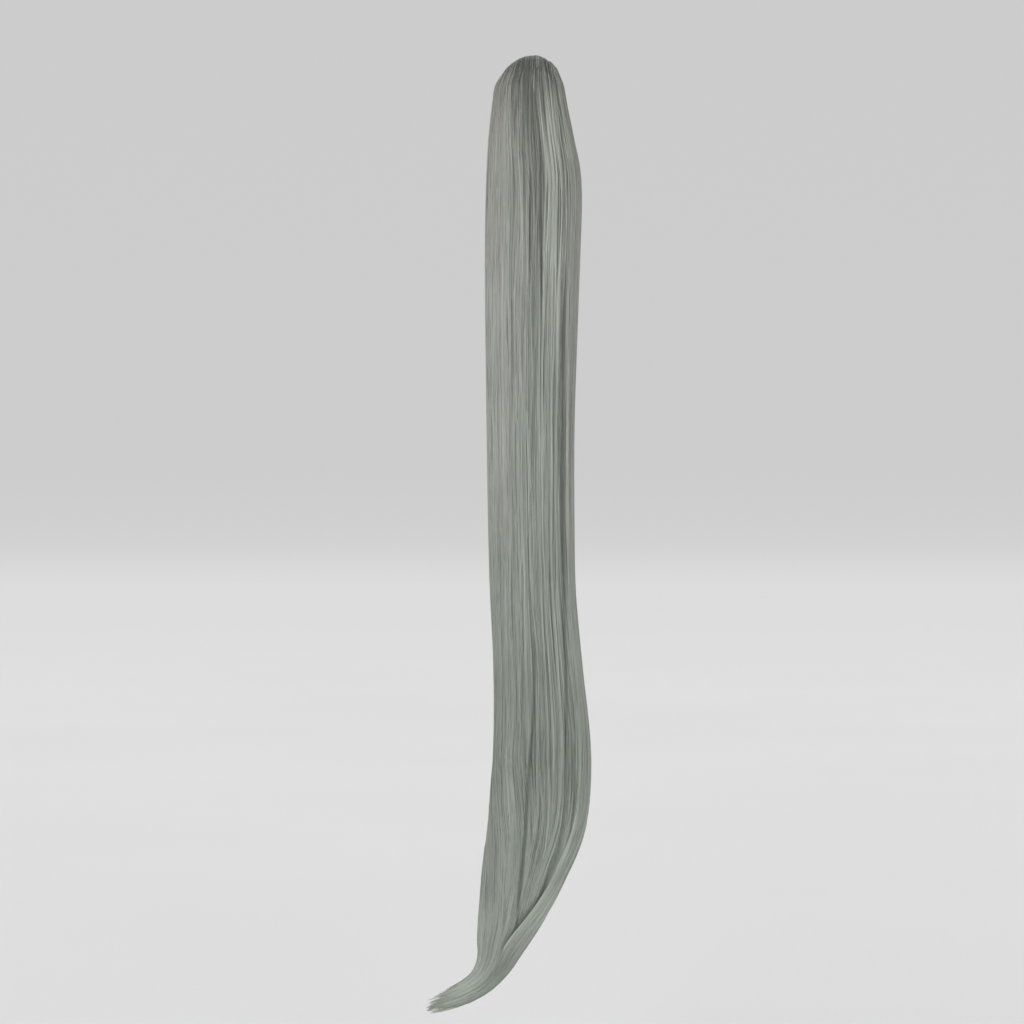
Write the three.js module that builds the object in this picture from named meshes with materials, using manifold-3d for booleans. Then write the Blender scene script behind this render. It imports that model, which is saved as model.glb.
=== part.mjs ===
// Clip-on ponytail: a long straight fall of hair that rises from a claw clip, arches over and hangs down the back.
// Millimetres, +Z up. The origin is the middle of the clip's mouth, where it grips the wearer's own hair.
// -Y is the outer face of the fall, the side that shows when it is worn, and +X is to the right seen from there.
import * as THREE from "three";
import { mergeVertices } from "three/addons/utils/BufferGeometryUtils.js";
import Module from "manifold-3d";

const wasm = await Module();
wasm.setup();

const { cos, sin, PI, min, max } = Math;
const rad = THREE.MathUtils.degToRad;

// A table with named columns: one object for each row.
const table = (columns, ...rows) =>
  rows.map((row) => Object.fromEntries(columns.map((name, i) => [name, row[i]])));

// The claw clip, in its own frame: X along the hinge, "lift" away from the head, "fore" towards the front jaw.
const CLIP = {
  tilt: 30, // degrees that the clip leans back from upright, as it sits on the crown
  halfLength: 32, // of the jaws, along the hinge
  grip: 15, // radius inside the closed jaws
  wall: 2.6, // thickness of the jaws
  gripLift: 17, // of the middle of the grip above the mouth
  mouth: 32, // degrees of arc left open on each side of the mouth
  crownDrop: 11, // of the middle of the jaws' rounded end outline below the middle of the grip
  toothPitch: 9,
  toothGap: 4.4,
  toothLift: 9.5, // height of the roots of the teeth above the mouth
  barrelRadius: 4.5,
  barrelHalfLength: 15,
  leverSplay: 50, // degrees of each thumb lever from upright
  leverLength: 16,
  leverHalfWidth: 11,
  leverThick: 2.4,
  curveSteps: 20, // in each rounded outline
};
const HINGE_LIFT = CLIP.gripLift + CLIP.grip + CLIP.wall;

// The head of the hair: a sewn block that fills the notch between the levers and carries every lock.
const SEAT_GAP = 0.3;
const HEAD = { halfWidth: 15.5, halfDepth: 6.4, footHalfDepth: 2.6, top: 49, shoulder: 43.4 };
const ROOT_LIFT = 45; // where the locks begin inside the head, along the clip's lean

// The arch: the hair leaves the head along the clip's lean and bends over through a round arc until it points down.
const ARCH = { radius: 24, straight: 7 };
const ARCH_SECTIONS = table(
  ["turn", "side", "halfWidth", "halfDepth"],
  [0, 0, 15.5, 7.5],
  [30, 1, 19.5, 10.5],
  [60, 4.5, 23.5, 14],
  [90, 4, 29.5, 15.5],
  [120, 1.5, 35.5, 16.5],
  [150, 0, 40.5, 17.5],
);

// The fall below the arch: height, distance behind the origin, sideways place, and half the width and depth there.
const FALL_SECTIONS = table(
  ["height", "back", "side", "halfWidth", "halfDepth"],
  [12, 75, -0.5, 45, 18.5],
  [-34, 80, 1.5, 51.5, 20],
  [-82, 82, 4.5, 57, 20.5],
  [-178, 83, 3, 57, 21],
  [-370, 81, 0, 52, 20.5],
  [-562, 79, 2, 50.5, 20],
  [-658, 79, 8.5, 52.5, 20],
  [-754, 80, 14, 57.5, 19],
  [-802, 81, 12.5, 59, 18.5],
  [-850, 82, 7, 57.5, 18],
  [-900, 82, -6.5, 50, 17],
  [-946, 82, -18.5, 43, 16],
  [-994, 82, -33.5, 30, 14.5],
  [-1020, 82, -44, 23, 12],
  [-1041, 82, -61, 17.5, 10],
  [-1056.5, 83, -83, 13.5, 8],
  [-1066, 84, -104, 10, 6],
  [-1073, 85, -121, 7.5, 4],
);

// The locks that make the surface. "around" is the place on a section: 0 the right edge, 90 the outer face,
// 180 the left edge and 270 the face towards the head. "drift" is how far the lock wanders round by its tip,
// "width" its half width as a share of the section's, "lift" how far it stands proud, "tip" where it ends.
const LOCKS = table(
  ["around", "drift", "width", "lift", "tip"],
  [4, 6, 0.17, 0.4, 0.93],
  [24, 4, 0.15, 1.4, 0.962],
  [46, 4, 0.19, 0.3, 0.978],
  [61, 2, 0.15, 1.7, 0.99],
  [76, -2, 0.17, 0.2, 0.97],
  [90, -6, 0.16, 1.9, 0.994],
  [104, -4, 0.15, 0.4, 0.983],
  [118, -2, 0.17, 1.5, 1],
  [137, -2, 0.26, 0.7, 0.988],
  [160, 0, 0.16, 1.6, 0.972],
  [180, 4, 0.15, 0.5, 0.868],
  [204, 2, 0.18, 1.2, 0.995],
  [228, 0, 0.22, 0.4, 0.966],
  [252, 3, 0.22, 1.5, 0.985],
  [276, 0, 0.23, 0.3, 0.958],
  [301, -3, 0.23, 1.4, 0.99],
  [332, -2, 0.2, 0.6, 0.945],
);
const LOCK = {
  thick: 5.2, // half thickness where the fall is full
  fullDepth: 20, // half depth of a full section; thinner sections have thinner locks
  slimmest: 1.7, // least half width, which keeps the ends whole
  sides: 6,
  taper: 95, // length over which a lock narrows to its tip
  tipShare: 0.25, // how much of a lock is left at its blunt tip
};
const CORE = {
  sides: 14,
  inset: 0.78, // depth of the core's skin under the locks' faces, as a share of their half thickness
  short: 24, // how far the core ends before the tip
  taper: 100,
  tipShare: 0.35,
};

// Where rings are set along a lock: close together through the arch and the curved end, wide apart between.
const RUNS = table(["until", "steps"], [100, 12], [880, 10], [1080, 6], [Infinity, 9]);

// The lock that leaves the right edge near the end and folds over the outer face: place along the fall measured
// back from the tip, place round the section, half width and how far it stands proud.
const FOLD = table(
  ["fromTip", "around", "halfWidth", "lift"],
  [430, 6, 7, -1],
  [350, 9, 11, 0.8],
  [270, 17, 13, 2.2],
  [190, 36, 12, 2.6],
  [130, 49, 12.5, 2.6],
  [80, 54, 11, 2],
  [35, 57, 7, 1.4],
  [4, 58, 2.2, 0.8],
);
const FOLD_STATIONS = 22;

const hairMaterial = new THREE.MeshStandardMaterial({ color: 0x898d87, roughness: 0.45, metalness: 0 });
const clipMaterial = new THREE.MeshStandardMaterial({ color: 0x5c5e5d, roughness: 0.4, metalness: 0 });

// A closed geometry as a solid for joining and cutting.
function solidOf(geometry) {
  const bare = geometry.clone();
  bare.deleteAttribute("normal");
  bare.deleteAttribute("uv");
  const merged = mergeVertices(bare, 1e-4);
  return new wasm.Manifold(
    new wasm.Mesh({
      numProp: 3,
      vertProperties: new Float32Array(merged.attributes.position.array),
      triVerts: new Uint32Array(merged.index.array),
    }),
  );
}

// A solid back as a geometry that a mesh can show.
function geometryOf(solid) {
  const mesh = solid.getMesh();
  return new THREE.BufferGeometry()
    .setAttribute("position", new THREE.BufferAttribute(new Float32Array(mesh.vertProperties), 3))
    .setIndex(new THREE.BufferAttribute(new Uint32Array(mesh.triVerts), 1));
}

const joined = (solids) => solids.reduce((all, one) => all.add(one));

// The outer skin of a solid, with the small pockets that its pieces close off inside it filled.
const filled = (solid) => solid.decompose().reduce((most, body) => (body.volume() > most.volume() ? body : most));

// A closed skin through rings of points that run counter-clockwise seen from the far end.
function loft(rings) {
  const sides = rings[0].length;
  const points = rings.flat();
  const middle = (loop) => loop.reduce((sum, p) => sum.add(p), new THREE.Vector3()).divideScalar(sides);
  const firstMiddle = points.push(middle(rings[0])) - 1;
  const lastMiddle = points.push(middle(rings.at(-1))) - 1;
  const lastRing = (rings.length - 1) * sides;
  const faces = [];
  for (let k = 0; k < sides; k++) {
    const next = (k + 1) % sides;
    for (let low = 0; low < lastRing; low += sides) {
      const high = low + sides;
      faces.push(low + k, low + next, high + k, low + next, high + next, high + k);
    }
    faces.push(firstMiddle, next, k, lastMiddle, lastRing + k, lastRing + next);
  }
  return new THREE.BufferGeometry().setFromPoints(points).setIndex(faces);
}

// The clip's own frame in the part: fore and lift lie in the middle plane, turned back by the tilt.
const CLIP_FORE = new THREE.Vector3(0, cos(rad(CLIP.tilt)), sin(rad(CLIP.tilt)));
const CLIP_LIFT = new THREE.Vector3(0, -sin(rad(CLIP.tilt)), cos(rad(CLIP.tilt)));
const ALONG_HINGE = new THREE.Vector3(1, 0, 0);
const CLIP_FRAME = new THREE.Matrix4().makeBasis(CLIP_FORE, CLIP_LIFT, ALONG_HINGE);

// A flat outline in fore and lift, drawn out to both sides along the hinge.
function alongHinge(shape, halfLength) {
  const options = { depth: 2 * halfLength, bevelEnabled: false, curveSegments: CLIP.curveSteps };
  return new THREE.ExtrudeGeometry(shape, options).translate(0, 0, -halfLength);
}

// Both jaws as one open ring, with rounded ends and gaps cut between the teeth, offset from jaw to jaw.
function jaws() {
  const outer = CLIP.grip + CLIP.wall;
  const from = rad(CLIP.mouth - 90);
  const to = rad(270 - CLIP.mouth);
  const wall = new THREE.Shape();
  wall.absarc(0, CLIP.gripLift, outer, from, to, false);
  wall.absarc(0, CLIP.gripLift, CLIP.grip, to, from, true);

  const shoulders = CLIP.gripLift - CLIP.crownDrop;
  const crown = HINGE_LIFT + CLIP.wall - shoulders;
  const outline = new THREE.Shape();
  outline.absellipse(0, shoulders, CLIP.halfLength, crown, 0, PI, false, 0);
  outline.lineTo(-CLIP.halfLength, -outer);
  outline.lineTo(CLIP.halfLength, -outer);
  const rounded = alongHinge(outline, 2 * outer).rotateY(PI / 2);

  let solid = solidOf(alongHinge(wall, CLIP.halfLength)).intersect(solidOf(rounded));
  const gaps = Math.floor(CLIP.halfLength / CLIP.toothPitch);
  for (const [fore, offset] of [
    [1, 0],
    [-1, 0.5],
  ]) {
    for (let k = -gaps - 1; k <= gaps; k++) {
      const gap = new THREE.BoxGeometry(outer, 2 * CLIP.toothLift, CLIP.toothGap);
      gap.translate((fore * outer) / 2, 0, (k + offset) * CLIP.toothPitch);
      solid = solid.subtract(solidOf(gap));
    }
  }
  return solid;
}

// The barrel of the hinge, along the top of the jaws.
function barrel() {
  const { barrelRadius, barrelHalfLength, curveSteps } = CLIP;
  const rod = new THREE.CylinderGeometry(barrelRadius, barrelRadius, 2 * barrelHalfLength, curveSteps);
  return solidOf(rod.rotateX(PI / 2).translate(0, HINGE_LIFT, 0));
}

// One thumb lever: a tongue with a round end that leans out of the barrel, to the front (1) or the back (-1).
function lever(fore) {
  const straight = CLIP.leverLength - CLIP.leverHalfWidth / 2;
  const tongue = new THREE.Shape();
  tongue.moveTo(-CLIP.leverHalfWidth, 0);
  tongue.lineTo(CLIP.leverHalfWidth, 0);
  tongue.lineTo(CLIP.leverHalfWidth, straight);
  tongue.absellipse(0, straight, CLIP.leverHalfWidth, CLIP.leverHalfWidth / 2, 0, PI, false, 0);
  const plate = alongHinge(tongue, CLIP.leverThick / 2).rotateY(PI / 2);
  return solidOf(plate.rotateZ(-fore * rad(CLIP.leverSplay)).translate(0, HINGE_LIFT, 0));
}

function clawClip() {
  const solid = joined([jaws(), barrel(), lever(1), lever(-1)]);
  const mesh = new THREE.Mesh(geometryOf(solid), clipMaterial);
  mesh.name = "claw_clip";
  return mesh;
}

// A point in the clip's middle plane, in the part's frame.
const onClip = (fore, lift) => CLIP_FORE.clone().multiplyScalar(fore).addScaledVector(CLIP_LIFT, lift);

// The sections of the hair from the root to the tip, those of the arch worked out from its radius.
function hairSections() {
  const root = onClip(0, ROOT_LIFT);
  const spring = onClip(0, ROOT_LIFT + ARCH.straight);
  const centre = spring.clone().addScaledVector(CLIP_FORE, -ARCH.radius);
  const arch = ARCH_SECTIONS.map(({ turn, ...sizes }) => {
    const angle = rad(CLIP.tilt + turn);
    return { height: centre.z + ARCH.radius * sin(angle), back: -centre.y - ARCH.radius * cos(angle), ...sizes };
  });
  const first = { ...arch[0], height: root.z, back: -root.y, halfDepth: HEAD.halfDepth };
  return [first, ...arch, ...FALL_SECTIONS];
}

const SECTIONS = hairSections();
const KNOTS = SECTIONS.reduce((knots, row, i) => {
  const before = SECTIONS[i - 1];
  const step = before
    ? Math.hypot(row.height - before.height, row.back - before.back, row.side - before.side)
    : 0;
  return [...knots, (knots.at(-1) ?? 0) + step];
}, []);
const LENGTH = KNOTS.at(-1);

// A smooth curve through a column of a table, read at one place along its knots.
function smooth(knots, values, at) {
  const last = knots.length - 1;
  const beyond = knots.findIndex((knot) => knot > at);
  const from = (beyond < 1 ? last : beyond) - 1;
  const slope = (k) => {
    const low = max(k - 1, 0);
    const high = min(k + 1, last);
    return (values[high] - values[low]) / (knots[high] - knots[low]);
  };
  const step = knots[from + 1] - knots[from];
  const u = (at - knots[from]) / step;
  const rise = values[from + 1] - values[from];
  const startSlope = slope(from) * step;
  const endSlope = slope(from + 1) * step;
  return (
    values[from] +
    u * (startSlope + u * (3 * rise - 2 * startSlope - endSlope + u * (startSlope + endSlope - 2 * rise)))
  );
}

const column = (name, at) => smooth(KNOTS, SECTIONS.map((row) => row[name]), at);
const centreAt = (at) => new THREE.Vector3(column("side", at), -column("back", at), column("height", at));

// The section of the hair at a place along it: its centre, the directions across and out, and its half sizes.
function sectionAt(at) {
  const step = 1;
  const ahead = centreAt(min(at + step, LENGTH));
  const way = ahead.sub(centreAt(max(at - step, 0))).normalize();
  const across = new THREE.Vector3(1, 0, 0).addScaledVector(way, -way.x).normalize();
  const out = way.clone().cross(across);
  return { centre: centreAt(at), across, out, a: column("halfWidth", at), b: column("halfDepth", at) };
}

// A ring of points round a place on a section: right and up are the ring's own directions there.
function ring(section, place, right, up, halfRight, halfUp, sides) {
  return Array.from({ length: sides }, (_, k) => {
    const angle = (2 * PI * k) / sides;
    const x = place.x + right.x * halfRight * cos(angle) + up.x * halfUp * sin(angle);
    const y = place.y + right.y * halfRight * cos(angle) + up.y * halfUp * sin(angle);
    return section.centre.clone().addScaledVector(section.across, x).addScaledVector(section.out, y);
  });
}

// How full a section is, which sets how thick its locks are.
const fullShare = (section) => min(1, section.b / LOCK.fullDepth);

// A ring of one lock that lies on the section's outline, flat against it and proud of it by lift.
function lockRing(section, around, halfWidth, lift, share) {
  const angle = rad(around);
  const edge = new THREE.Vector2(section.a * cos(angle), section.b * sin(angle));
  const up = new THREE.Vector2(section.b * cos(angle), section.a * sin(angle)).normalize();
  const right = new THREE.Vector2(up.y, -up.x);
  const full = fullShare(section);
  const thick = LOCK.thick * full;
  const place = edge.addScaledVector(up, lift * full - thick);
  return ring(section, place, right, up, halfWidth * share, thick * share, LOCK.sides);
}

// How much of a bundle is left at a place before its tip, from all of it down to a small blunt end.
const narrowing = (left, { taper, tipShare }) => tipShare + (1 - tipShare) * sin((PI / 2) * min(1, left / taper));

// The places of the rings of a bundle that ends at a place.
function stations(end) {
  const places = [0];
  for (const { until, steps } of RUNS) {
    const from = places.at(-1);
    const step = (min(until, end) - from) / steps;
    for (let k = 1; k <= steps; k++) places.push(from + k * step);
  }
  return places;
}

function lockSolid({ around, drift, width, lift, tip }) {
  const end = tip * LENGTH;
  const rings = stations(end).map((at) => {
    const section = sectionAt(at);
    const halfWidth = max(width * section.a, LOCK.slimmest);
    return lockRing(section, around + (drift * at) / LENGTH, halfWidth, lift, narrowing(end - at, LOCK));
  });
  return solidOf(loft(rings));
}

// The lock that folds over the outer face at the end of the fall.
function foldSolid() {
  const knots = FOLD.map((row) => LENGTH - row.fromTip);
  const rings = Array.from({ length: FOLD_STATIONS + 1 }, (_, i) => {
    const at = knots[0] + ((knots.at(-1) - knots[0]) * i) / FOLD_STATIONS;
    const value = (name) => smooth(knots, FOLD.map((row) => row[name]), at);
    return lockRing(sectionAt(at), value("around"), value("halfWidth"), value("lift"), 1);
  });
  return solidOf(loft(rings));
}

// The body of hair inside the locks, so that the fall is one full bundle.
function coreSolid() {
  const end = LENGTH - CORE.short;
  const rings = stations(end).map((at) => {
    const section = sectionAt(at);
    const inset = CORE.inset * LOCK.thick * fullShare(section);
    const share = narrowing(end - at, CORE);
    const right = new THREE.Vector2(1, 0);
    const up = new THREE.Vector2(0, 1);
    const middle = new THREE.Vector2();
    return ring(section, middle, right, up, (section.a - inset) * share, (section.b - inset) * share, CORE.sides);
  });
  return solidOf(loft(rings));
}

// The sewn head, a block whose foot narrows into the notch between the levers and stands on the barrel.
function headSolid() {
  const foot = HINGE_LIFT + CLIP.barrelRadius + SEAT_GAP;
  const block = new THREE.Shape();
  block.moveTo(-HEAD.footHalfDepth, foot);
  block.lineTo(HEAD.footHalfDepth, foot);
  block.lineTo(HEAD.halfDepth, HEAD.shoulder);
  block.lineTo(HEAD.halfDepth, HEAD.top);
  block.lineTo(-HEAD.halfDepth, HEAD.top);
  block.lineTo(-HEAD.halfDepth, HEAD.shoulder);
  return solidOf(alongHinge(block, HEAD.halfWidth).applyMatrix4(CLIP_FRAME));
}

function hair() {
  const solid = filled(joined([headSolid(), coreSolid(), ...LOCKS.map(lockSolid), foldSolid()]));
  const mesh = new THREE.Mesh(geometryOf(solid), hairMaterial);
  mesh.name = "hair";
  return mesh;
}

const clip = new THREE.Group();
clip.add(clawClip());
clip.applyMatrix4(CLIP_FRAME);

const ponytail = new THREE.Group();
ponytail.add(clip, hair());

export default ponytail;
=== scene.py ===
"""Dressed model of a clip-on ponytail: a long straight fall of fibre locks on a moulded claw clip.

The tables are in millimetres, in the part's own frame: +Z up, -Y out of the fall's outer face, and the
origin at the middle of the clip's mouth. Meshes are made in metres.
"""

import logging
import math
from collections.abc import Callable
from dataclasses import dataclass
from enum import Enum
from typing import Self

import bpy
import numpy as np
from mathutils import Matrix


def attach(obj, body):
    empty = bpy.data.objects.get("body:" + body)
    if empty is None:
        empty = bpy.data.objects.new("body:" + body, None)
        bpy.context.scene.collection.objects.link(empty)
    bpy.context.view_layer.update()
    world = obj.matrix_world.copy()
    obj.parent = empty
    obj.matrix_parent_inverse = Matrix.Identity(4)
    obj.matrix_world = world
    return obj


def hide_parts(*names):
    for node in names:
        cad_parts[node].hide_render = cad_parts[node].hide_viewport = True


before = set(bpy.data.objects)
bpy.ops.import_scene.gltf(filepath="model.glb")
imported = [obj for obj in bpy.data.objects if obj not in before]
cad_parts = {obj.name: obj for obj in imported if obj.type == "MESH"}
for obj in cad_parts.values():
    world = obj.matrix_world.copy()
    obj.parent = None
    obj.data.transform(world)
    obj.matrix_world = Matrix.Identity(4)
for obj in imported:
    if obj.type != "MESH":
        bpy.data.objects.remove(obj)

logging.basicConfig(level=logging.INFO, format="%(message)s")
log = logging.getLogger("ponytail")

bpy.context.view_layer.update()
MM = 0.001
BODY = "root"
SEED = 1207
MAP_NAME = "OFBake"

Bearing = tuple[np.ndarray, np.ndarray, np.ndarray]
Pair = tuple[float, float]
Triple = tuple[float, float, float]
Colour = Triple
Stops = tuple[tuple[float, Colour], ...]
Piece = bpy.types.Object
Socket = bpy.types.NodeSocket


class Slot(Enum):
    """The record's material slots."""

    HAIR = "hair"
    CLIP = "clip"


class Face(Enum):
    """The stretches of the fall's outline that are made as one piece each."""

    OUTER_RIGHT = "locks_outer_right"
    OUTER_MIDDLE = "locks_outer_middle"
    OUTER_LEFT = "locks_outer_left"
    INNER_LEFT = "locks_inner_left"
    INNER_RIGHT = "locks_inner_right"


@dataclass(frozen=True)
class ArchRow:
    """One section of the arch: how far round it is in degrees, its side, and half its width and depth."""

    turn: float
    side: float
    half_width: float
    half_depth: float


@dataclass(frozen=True)
class Section:
    """One section across the hair: where its centre is and half its width and depth."""

    height: float
    back: float
    side: float
    half_width: float
    half_depth: float


ARCH_ROWS = (
    ArchRow(0, 0, 15.5, 7.5),
    ArchRow(30, 1, 19.5, 10.5),
    ArchRow(60, 3.0, 22.0, 14),
    ArchRow(90, 1.9, 29.8, 15.5),
    ArchRow(120, 0.5, 35.9, 16.5),
    ArchRow(150, -0.9, 41.9, 17.5),
)

FALL_ROWS = (
    Section(12, 75, -0.5, 45, 18.5),
    Section(-34, 80, 1.5, 51.5, 20),
    Section(-82, 82, 4.5, 57, 20.5),
    Section(-178, 83, 3, 57, 21),
    Section(-370, 81, 0.8, 52.8, 20.5),
    Section(-562, 79, 3, 51.5, 20),
    Section(-658, 79, 9, 53, 20),
    Section(-754, 80, 14.5, 58, 19),
    Section(-802, 81, 13, 59.5, 18.5),
    Section(-850, 82, 8, 58.5, 18),
    Section(-900, 82, -5.5, 51, 17),
    Section(-946, 82, -18.5, 43, 16),
    Section(-994, 82, -34, 30.5, 14.5),
    Section(-1020, 82, -42.5, 22, 12),
    Section(-1042, 82, -57.5, 16, 10),
    Section(-1056.5, 83, -79.5, 13.8, 8),
    Section(-1065.5, 84, -102, 12.8, 6),
    Section(-1072, 85, -122.5, 10.8, 4),
)

# A section of this half depth or more has locks of full thickness.
FULL_DEPTH = 20.0
LOCK_THICK = 5.2
LOCK_TAPER = 95.0

# The top of the arch, as a place along the hair, and how far locks that stand out there do so before and
# after it.
CROWN_AT = 45.0
CROWN_REACH = 46.0


def smooth(knots: np.ndarray, values: np.ndarray, at: np.ndarray) -> np.ndarray:
    """Reads a smooth curve through a column of a table.

    Args:
        knots: Rising places of the rows.
        values: The column's values at those places.
        at: Places to read, of any shape.

    Returns:
        The curve's values, in the shape of at.
    """
    last = len(knots) - 1
    low = np.maximum(np.arange(last + 1) - 1, 0)
    high = np.minimum(np.arange(last + 1) + 1, last)
    slope = (values[high] - values[low]) / (knots[high] - knots[low])
    start = np.clip(np.searchsorted(knots, at, side="right") - 1, 0, last - 1)
    step = knots[start + 1] - knots[start]
    u = (at - knots[start]) / step
    rise = values[start + 1] - values[start]
    first, second = slope[start] * step, slope[start + 1] * step
    bend = 3 * rise - 2 * first - second + u * (first + second - 2 * rise)
    return values[start] + u * (first + u * bend)


def narrowing(left: np.ndarray, taper: float, tip_share: float) -> np.ndarray:
    """How much of a bundle is left at a distance before its tip: all of it, down to a small blunt end."""
    return tip_share + (1 - tip_share) * np.sin(np.pi / 2 * np.clip(left / taper, 0, 1))


def crowned(at: np.ndarray) -> np.ndarray:
    """How near places along the hair are to the top of the arch, from 0 to 1."""
    return np.exp(-(((at - CROWN_AT) / CROWN_REACH) ** 2))


def evenly(number: np.ndarray, total: int) -> np.ndarray:
    """The middles of numbered stretches that share a lock's width evenly, from -1 to 1 across it."""
    return (number + 0.5) / total * 2 - 1


@dataclass(frozen=True)
class Slice:
    """The hair's sections at an array of places: centres, directions across and out, and half sizes."""

    centre: np.ndarray
    across: np.ndarray
    out: np.ndarray
    half_width: np.ndarray
    half_depth: np.ndarray

    @property
    def full(self) -> np.ndarray:
        """How full each section is, which sets how thick its locks are."""
        return np.minimum(1, self.half_depth / FULL_DEPTH)

    def pace(self, around: np.ndarray) -> np.ndarray:
        """How far the outline goes for each radian at an angle."""
        return np.hypot(self.half_width * np.sin(around), self.half_depth * np.cos(around))

    def outline(self, around: np.ndarray) -> tuple[np.ndarray, np.ndarray]:
        """The section's outline at an angle.

        Args:
            around: Angles in radians, in the shape of the sections or broadcast with it.

        Returns:
            The points on the outline and the directions straight out of it, in section coordinates.
        """
        cosine, sine = np.cos(around), np.sin(around)
        edge = np.stack([self.half_width * cosine, self.half_depth * sine], -1)
        up = np.stack([self.half_depth * cosine, self.half_width * sine], -1)
        return edge, up / np.linalg.norm(up, axis=-1, keepdims=True)

    def point(self, place: np.ndarray) -> np.ndarray:
        """Section coordinates as points in the part's frame, in millimetres."""
        return self.centre + self.across * place[..., :1] + self.out * place[..., 1:]


@dataclass
class Fall:
    """The course of the hair from its root in the clip, over the arch and down to the tip.

    tilt is how far the clip leans back, in degrees. The root is root_lift above the clip's mouth, and the
    hair goes on straight for arch_straight before the arch begins. The sections stay level as far along as
    level_until.
    """

    tilt: float = 30.0
    root_lift: float = 45.0
    root_half_width: float = 15.5
    root_half_depth: float = 6.4
    arch_straight: float = 7.0
    arch_radius: float = 24.0
    level_until: float = 100.0
    least_half: float = 1.0
    step: float = 1.0

    def __post_init__(self) -> None:
        """Works out the arch's sections and the length along all of them."""
        tilt = math.radians(self.tilt)
        lift = np.array([math.sin(tilt), math.cos(tilt)])
        fore = np.array([-math.cos(tilt), math.sin(tilt)])
        root = lift * self.root_lift
        centre = lift * (self.root_lift + self.arch_straight) - fore * self.arch_radius
        rows = [Section(root[1], root[0], 0, self.root_half_width, self.root_half_depth)]
        for row in ARCH_ROWS:
            angle = math.radians(self.tilt + row.turn)
            back = centre[0] - self.arch_radius * math.cos(angle)
            height = centre[1] + self.arch_radius * math.sin(angle)
            rows.append(Section(height, back, row.side, row.half_width, row.half_depth))
        rows.extend(FALL_ROWS)
        self.columns = {
            name: np.array([getattr(row, name) for row in rows], float)
            for name in ("height", "back", "side", "half_width", "half_depth")
        }
        places = np.stack([self.columns[name] for name in ("height", "back", "side")], 1)
        steps = np.linalg.norm(np.diff(places, axis=0), axis=1)
        self.knots = np.concatenate([[0.0], np.cumsum(steps)])
        self.length = float(self.knots[-1])

    def column(self, name: str, at: np.ndarray) -> np.ndarray:
        """One column of the section table, read at places along the hair."""
        return smooth(self.knots, self.columns[name], at)

    def centre(self, at: np.ndarray) -> np.ndarray:
        """The middle of the hair at places along it."""
        return np.stack([self.column("side", at), -self.column("back", at), self.column("height", at)], -1)

    def slice(self, at: np.ndarray) -> Slice:
        """Cuts sections across the hair.

        Args:
            at: Places along it, of any shape.

        Returns:
            The sections at those places.
        """
        ahead = np.minimum(at + self.step, self.length + self.step)
        way = self.centre(ahead) - self.centre(np.maximum(at - self.step, 0))
        way[..., 0] *= np.clip(at / self.level_until - 1, 0, 1)
        way /= np.linalg.norm(way, axis=-1, keepdims=True)
        across = np.array([1.0, 0, 0]) - way * way[..., :1]
        across /= np.linalg.norm(across, axis=-1, keepdims=True)
        out = np.cross(way, across)
        half_width = np.maximum(self.column("half_width", at), self.least_half)
        half_depth = np.maximum(self.column("half_depth", at), self.least_half)
        return Slice(self.centre(at), across, out, half_width, half_depth)


# Where the end swings aside the strands go on hanging straight, so they turn round the section: how much
# of the turn is made at each height, and how many degrees it takes each lock round.
TWIST_HEIGHTS = (-977.0, -900.0, -850.0, -777.0, -680.0, -560.0)
TWIST_SHARES = (1.0, 0.5, 0.1, -0.25, -0.15, 0.0)
TURN_FROM = (0.0, 60.0, 90.0, 120.0, 180.0, 204.0, 228.0, 252.0, 276.0)
TURN_BY = (0.0, -7.0, -22.0, -34.0, -53.0, -45.0, -30.0, -15.0, 0.0)
TWIST_SPREAD = 0.5


@dataclass(frozen=True)
class Lock:
    """One surface lock: its place round a section in degrees, its form, and its colour.

    around is 0 at the right edge, 90 on the outer face and 180 at the left edge. drift is how far it
    wanders round by its tip, width its half width as a share of the section's, lift how far it stands
    proud and tip its end as a share of the length. crown is how much further it stands out at the top of
    the arch. shade is from dark, -1, to light, 1: partly the lock's own tone and partly painted light,
    which lightens the locks at the edges where they turn from the lamps. streak is how uneven it is. warm
    and warm_low are from green-grey, 0, to plain grey, 1, above and below.
    """

    face: Face
    around: float
    drift: float
    width: float
    lift: float
    tip: float
    crown: float
    shade: float
    streak: float
    warm: float
    warm_low: float

    def shade_at(self, at: np.ndarray) -> np.ndarray:
        """How light the lock is at places along the hair."""
        return np.full(at.shape, self.shade)

    def course(self, fall: Fall, at: np.ndarray, slimmest: float, tip_share: float) -> Bearing:
        """The lock's way along the hair.

        Args:
            fall: The hair's course.
            at: Places along it.
            slimmest: The least half width, in millimetres.
            tip_share: How much of the width is left at the tip.

        Returns:
            The lock's angle round the section in degrees, its half width and its lift at those places.
        """
        cut = fall.slice(at)
        twist = np.interp(cut.centre[..., 2], TWIST_HEIGHTS, TWIST_SHARES)
        angle = self.around + self.drift * at / fall.length
        angle = angle + twist * np.interp(angle, TURN_FROM, TURN_BY)
        half = np.maximum(self.width * cut.half_width, slimmest) * (1 + TWIST_SPREAD * np.maximum(twist, 0))
        half = half * narrowing(self.tip * fall.length - at, LOCK_TAPER, tip_share)
        return angle, half, self.lift + self.crown * crowned(at)


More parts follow.
